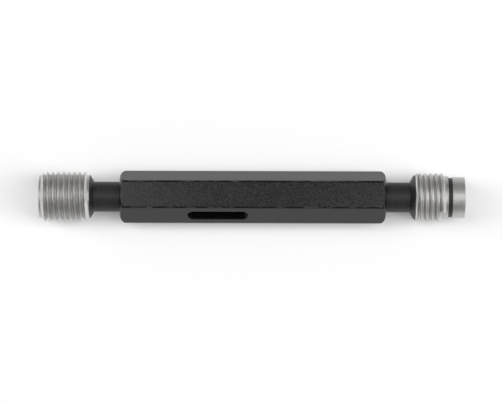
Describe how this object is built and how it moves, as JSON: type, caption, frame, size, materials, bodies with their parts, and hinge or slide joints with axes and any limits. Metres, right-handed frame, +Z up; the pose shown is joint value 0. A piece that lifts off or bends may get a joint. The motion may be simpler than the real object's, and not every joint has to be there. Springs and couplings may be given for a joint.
{
  "type": "thread plug gauge",
  "caption": "Double-ended thread plug gauge: hexagonal handle with a long GO thread at one end and a short NO-GO thread with a plain pilot at the other.",
  "frame": {"origin": "on the surface that the gauge lies on, below the middle of its length and its axis", "axes": "+X along the axis towards the NO-GO end, +Z up out of the top flat of the handle"},
  "size_m": [0.1192, 0.0148, 0.014],
  "materials": {
    "handle_black": "hexagon steel bar, chemically blackened and oiled, glossy",
    "ground_steel": "ground and lapped gauge steel, bright; neck and shoulder cone left black",
    "ground_steel_no_go": "ground and lapped gauge steel, bright; neck, shoulder cone and relief left black"
  },
  "bodies": {
    "root": {"handle": "handle_black", "go_member": "ground_steel", "no_go_member": "ground_steel_no_go"}
  },
  "joints": []
}
